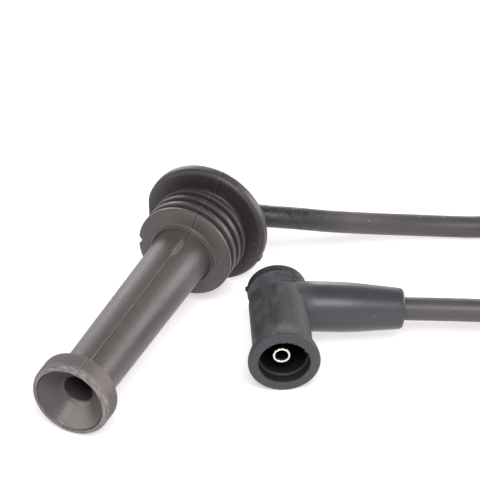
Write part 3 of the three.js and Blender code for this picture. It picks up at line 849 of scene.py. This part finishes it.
cavity = spun("cavity", [
    (0, -2), (7.75, -2), (7.75, -0.05), (7.5, 0.35), (7.5, 3.2), (6.9, 3.7), (6.9, 3.6),
    (6.88, 4.3), (7.3, 4.7), (7.3, 19.0), (3.1, 19.0), (3.1, 29.4), (0, 29.4),
], COIL_BOOT_FACETS)
cut_or_join(coil_boot, cavity, "DIFFERENCE")
crimp_hole = spun("crimp_hole", [
    (0, 0), (2.9, 0), (2.9, 12.8), (CABLE_HOLE, 12.8), (CABLE_HOLE, ARM_REACH - 0.5),
    (3.9, ARM_REACH + 0.2), (3.9, ARM_REACH + HOLE_OVERRUN), (0, ARM_REACH + HOLE_OVERRUN),
], HOLE_FACETS)
cut_or_join(coil_boot, crimp_hole, "DIFFERENCE", arm_lie)

# Trimming left ragged crumbs of flash inside the mouth, on the side towards the arm, and a short
# tag on the back disc.
CRUMB_REACH = 0.9
CRUMB_RADII = (7.3, 8.1)
CRUMB_ANGLES = (-105.0, -15.0)
CRUMB_BACK = 0.9
DISC_TAG_RADIUS = 8.5
DISC_TAG_HEIGHTS = (33.4, 34.4)
DISC_TAG_ANGLE = 178.0
DISC_TAG_HALF_ANGLE = 2.0
DISC_TAG_REACH = 1.06

for vertex in coil_boot.data.vertices:
    point = vertex.co / MM
    radius = math.hypot(point.x, point.y)
    around = angle_of(point)
    on_mouth_edge = CRUMB_RADII[0] < radius < CRUMB_RADII[1] and point.z < CRUMB_BACK
    if on_mouth_edge and CRUMB_ANGLES[0] < around < CRUMB_ANGLES[1]:
        ragged = max(0.0, noise.noise(Vector((around * 0.16, 0.5, point.z * 0.5))))
        draw_in(vertex, CRUMB_REACH * ragged / radius)
    on_disc = (radius > DISC_TAG_RADIUS
               and DISC_TAG_HEIGHTS[0] < point.z < DISC_TAG_HEIGHTS[1])
    if on_disc and abs(abs(around) - DISC_TAG_ANGLE) < DISC_TAG_HALF_ANGLE:
        vertex.co.x *= DISC_TAG_REACH
coil_boot.data.transform(coil_boot_lie)
smooth(coil_boot)

# The same rubber from a smoother mould: a colder grey with a satin sheen on the arm. The body is
# duller, with streaks 2.4 mm wide and 11 mm long and pale rubbed bloom 5 mm across on its back
# half, and painted light makes its side towards the arm lighter. Specks of dust sit 3.6 mm apart.
# The mouth's front face and the back disc take the arm's lighter grey as painted light, the back
# disc's side wall is darkened with painted shade, and the inside of the mouth is painted near black
# as shade. The grain is drawn 0.4 mm wide, so that it shows.
MOUTH_WALL = 0.0077
MOUTH_FROM = 0.00005
MOUTH_END = 0.0245
ARM_FROM = 0.0075
DISC_EDGE = 0.0088
DISC_FRONT = 0.032
FRONT_FACE = 0.0006
BACK_FACE = 0.028
BACK_HALF = 0.010

satin = new_material("satin_epdm_rubber")
satin_place, satin_parts, satin_radius = along_boot(satin, coil_boot_lie)
satin_out = satin_parts["X"]
satin_along = satin_parts["Z"]
satin_bloom = add(satin, "TexNoise", {
    "Vector": satin_place, "Scale": 190.0, "Detail": 6.0, "Roughness": 0.68, "Distortion": 0.4,
})["Fac"]
satin_grain = add(satin, "TexNoise", {
    "Vector": satin_place, "Scale": 2400.0, "Detail": 2.0,
})["Fac"]
satin_streaks = add(satin, "TexNoise", {
    "Vector": add(satin, "VectorMath", [satin_place, (1.0, 1.0, 0.22)], operation="MULTIPLY")[0],
    "Scale": 420.0, "Detail": 5.0, "Roughness": 0.65,
})["Fac"]
satin_dust = specks(satin, satin_place, 280.0, 0.09, 0.04, 0.3, 0.7)
on_arm = mask(satin, (satin_out, ARM_FROM, ARM_FROM + 0.003))
# Painted shade: the inside of the mouth is coloured near black.
mouth_painted_shade = mask(
    satin, (satin_radius, MOUTH_WALL, MOUTH_WALL - 0.0002),
    (satin_along, MOUTH_FROM, MOUTH_FROM + 0.00055), (satin_along, MOUTH_END, MOUTH_END - 0.0005))
# Painted shade on the back disc's side wall, where it faces up.
disc_edge_painted_shade = mask(
    satin, (satin_radius, DISC_EDGE - 0.0002, DISC_EDGE),
    (satin_along, DISC_FRONT, DISC_FRONT + 0.0003), (satin_out, 0.007, 0.005))
# Painted light on the mouth's front face and on the back disc, which take the arm's lighter grey.
faces_painted_light = add(satin, "Math", [
    mask(satin, (satin_along, FRONT_FACE + 0.001, FRONT_FACE)),
    mask(satin, (satin_along, BACK_FACE - 0.0008, BACK_FACE)),
], operation="MAXIMUM")[0]
rubbed = add(satin, "Math", [
    mask(satin, (satin_along, BACK_HALF, BACK_HALF + 0.010), (satin_out, 0.010, 0.004)),
    add(satin, "MapRange", [satin_bloom, 0.48, 0.62, 0.0, 0.6])[0],
], operation="MULTIPLY")[0]
satin_colour = layered(
    satin, "#29292b",
    ("#49494d", mask(satin, (satin_streaks, 0.35, 0.65))),
    # Painted light: the body is lighter on its side towards the arm and darker on the far side.
    ("#444448", mask(satin, (satin_out, -0.002, 0.005))),
    # The arm's own lighter grey, laid also as painted light on the mouth's front face and the back
    # disc.
    (layered(satin, "#3d3d41", ("#4a4a4f", satin_bloom)),
     add(satin, "Math", [on_arm, faces_painted_light], operation="MAXIMUM")[0]),
    # Painted shade on the back disc's side wall.
    (layered(satin, "#1d1d1f", ("#3a3a3d", mask(satin, (satin_streaks, 0.45, 0.7)))),
     disc_edge_painted_shade),
    ("#66666b", add(satin, "Math", [rubbed, disc_edge_painted_shade], operation="SUBTRACT")[0]),
    ("#8c8c90", satin_dust),
    # Painted shade inside the mouth.
    ("#151516", mouth_painted_shade))
satin_roughness = add(satin, "MapRange", [on_arm, 0.0, 1.0, 0.56, 0.3])[0]
for part, rougher in ((rubbed, 0.3), (satin_bloom, 0.08)):
    satin_roughness = add(satin, "Math", [
        part, rougher, satin_roughness,
    ], operation="MULTIPLY_ADD", use_clamp=True)[0]
close_material(satin, {
    "Base Color": satin_colour, "Roughness": satin_roughness, "IOR": 1.5,
}, satin_grain, 0.22, 0.0001)
finish_piece(coil_boot, satin)
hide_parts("coil_boot")


# Coil terminal
# The tinned tube that takes the coil's pin, with a crimp barrel at right angles for the cable's
# core. Its mouth is rolled to a bright flat lip, a little uneven, and sits slightly off centre.
LIP_SHIFT = 0.6
LIP_FRONT = 3.3
LIP_EDGE = 0.18
LIP_BACK = 4.35
LIP_MIDDLE = 2.3
LIP_UNEVEN = 0.22
LIP_WAVY = 0.12
LIP_WAVES = 4.5
LIP_SHADE_FROM = 0.0036
PIN_BORE = 1.75
PIN_BORE_END = 17.6
CORE_HOLE = 1.4
CRIMP_RADIUS = 2.6
CRIMP_END = 12.5
coil_terminal = spun("coil_terminal_metal", [
    (0, 29.1), (2.8, 29.1), (2.8, 12.0), (2.74, 4.6), (2.64, 4.1),
    *arc(2.44, LIP_FRONT + LIP_EDGE, LIP_EDGE, 0, -90, 4),
    *arc(2.12, LIP_FRONT + LIP_EDGE, LIP_EDGE, -90, -180, 4),
    (1.86, 4.1), (PIN_BORE, 4.6), (PIN_BORE, 10.0), (PIN_BORE, PIN_BORE_END), (0, PIN_BORE_END),
], 64)
crimp = spun("crimp", [(0, 0), (CRIMP_RADIUS, 0), (CRIMP_RADIUS, CRIMP_END), (0, CRIMP_END)], 48)
cut_or_join(coil_terminal, crimp, "UNION", arm_lie)
core_hole = spun("core_hole", [(0, 3.5), (CORE_HOLE, 3.5), (CORE_HOLE, 14.0), (0, 14.0)], 32)
cut_or_join(coil_terminal, core_hole, "DIFFERENCE", arm_lie)
for vertex in coil_terminal.data.vertices:
    point = vertex.co / MM
    if point.z < PIN_BORE_END:
        vertex.co.x -= LIP_SHIFT * (1 - (point.z - LIP_FRONT) / (PIN_BORE_END - LIP_FRONT)) * MM
    if point.z < LIP_BACK:
        around = math.radians(angle_of(point))
        uneven = noise.noise(Vector((
            math.cos(around) * LIP_WAVES, math.sin(around) * LIP_WAVES, 0.4)))
        outer = 1.0 if math.hypot(point.x, point.y) > LIP_MIDDLE else 0.4
        vertex.co.x += LIP_UNEVEN * outer * uneven * math.cos(around) * MM
        vertex.co.y += LIP_UNEVEN * outer * uneven * math.sin(around) * MM
        vertex.co.z += LIP_WAVY * uneven * MM
coil_terminal.data.transform(coil_boot_lie)
smooth(coil_terminal)

# Bright tin on the lip, where the coil's pin rubs it, with streaks 0.7 mm wide. Behind it, in the
# bore, the tin is darkened with painted shade and is rougher.
lip_tin = new_material("rolled_tinned_lip")
lip_place, lip_parts, _ = along_boot(lip_tin, coil_boot_lie)
# Painted shade on the tin behind the lip, deep in the bore.
bore_painted_shade = mask(lip_tin, (lip_parts["Z"], LIP_SHADE_FROM, LIP_SHADE_FROM + 0.0006))
lip_streaks = add(lip_tin, "TexNoise", {
    "Vector": lip_place, "Scale": 1400.0, "Detail": 3.0,
})["Fac"]
close_material(lip_tin, {
    "Base Color": layered(
        lip_tin, "#e3e0d8", ("#f6f4ee", lip_streaks), ("#4b4843", bore_painted_shade)),
    "Roughness": add(lip_tin, "MapRange", [bore_painted_shade, 0.0, 1.0, 0.3, 0.45])[0],
    "Metallic": 1.0,
}, lip_streaks, 0.4, 0.0001)
finish_piece(coil_terminal, lip_tin)
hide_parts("coil_terminal")


# Floor and light
# A sheet of white paper under three soft boxes. The floor glows a little for the camera, so that
# it shows white and keeps the faint contact shadows.
FLOOR_SIZE = 6.0
FLOOR_PLACE = (0.0, 1.2, -0.0001)
FLOOR_GLOW = 0.53
FLOOR_GLOW_COLOUR = (1.0, 0.955, 0.965, 1.0)


def seen_directly(material):
    """One for what the camera sees, straight or in a reflection, and nothing for other light."""
    rays = add(material, "LightPath")
    bent = add(material, "Math", [
        rays["Is Glossy Ray"], rays["Is Transmission Ray"],
    ], operation="MAXIMUM")[0]
    return add(material, "Math", [rays["Is Camera Ray"], bent], operation="MAXIMUM")[0]


bpy.ops.object.select_all(action="DESELECT")
bpy.ops.mesh.primitive_plane_add(size=FLOOR_SIZE)
floor = bpy.context.object
floor.name = "studio_floor"
floor.data.transform(Matrix.Translation(FLOOR_PLACE))
paper = new_material("white_paper")
paper_glow = add(paper, "Emission", {
    "Color": FLOOR_GLOW_COLOUR,
    "Strength": add(paper, "Math", [seen_directly(paper), FLOOR_GLOW], operation="MULTIPLY")[0],
})[0]
paper_surface = add(paper, "AddShader", [
    add(paper, "BsdfDiffuse", {"Color": "#efeeee"})[0], paper_glow,
])[0]
add(paper, "OutputMaterial", {"Surface": paper_surface})
give_material(floor, paper)

# The studio's walls are white up to about eye height and grey above, so what lies flat reflects
# less than what stands up.
WALL_WHITE = (1.0, 1.0, 1.0, 1.0)
WALL_GREY = (0.2, 0.2, 0.2, 1.0)
WALL_LIGHT = 0.45
GREY_FROM = 0.35
GREY_FULL = 0.75

world = bpy.data.worlds.new("studio")
bpy.context.scene.world = world
world.use_nodes = True
world.node_tree.nodes.clear()
world_height = add(world, "SeparateXYZ", [add(world, "TexCoord")["Generated"]])["Z"]
world_shader = add(world, "Background", {
    "Color": layered(world, WALL_WHITE, (
        WALL_GREY, mask(world, (world_height, GREY_FROM, GREY_FULL)))),
    "Strength": add(world, "MapRange", [seen_directly(world), 0.0, 1.0, WALL_LIGHT, 1.0])[0],
})
add(world, "OutputWorld", {"Surface": world_shader[0]})

# The front box lights the boots from above. The two low ones behind draw their bright edges.
LAMP_DISTANCE = 0.95
PURE_WHITE = (1.0, 1.0, 1.0)
WARM_WHITE = (1.0, 0.93, 0.935)
LAMPS = (
    ("soft_box_front", -62, 51, (0.6, 0.4), 10.0, PURE_WHITE),
    ("soft_box_back_right", 49, 14, (0.56, 0.36), 6.4, WARM_WHITE),
    ("soft_box_back_left", 122, 16, (0.6, 0.36), 4.6, WARM_WHITE),
)
for name, azimuth, elevation, size, brightness, colour in LAMPS:
    lamp = bpy.data.lights.new(name, "AREA")
    lamp.shape = "RECTANGLE"
    lamp.size = size[0]
    lamp.size_y = size[1]
    lamp.color = colour
    lamp.energy = brightness * math.pi * size[0] * size[1]
    soft_box = bpy.data.objects.new(name, lamp)
    turn = math.radians(azimuth)
    rise = math.radians(elevation)
    towards = Vector((
        math.cos(rise) * math.cos(turn), math.cos(rise) * math.sin(turn), math.sin(rise)))
    soft_box.location = towards * LAMP_DISTANCE
    soft_box.rotation_euler = (-towards).to_track_quat("-Z", "Y").to_euler()
    soft_box.visible_camera = False
    bpy.context.collection.objects.link(soft_box)
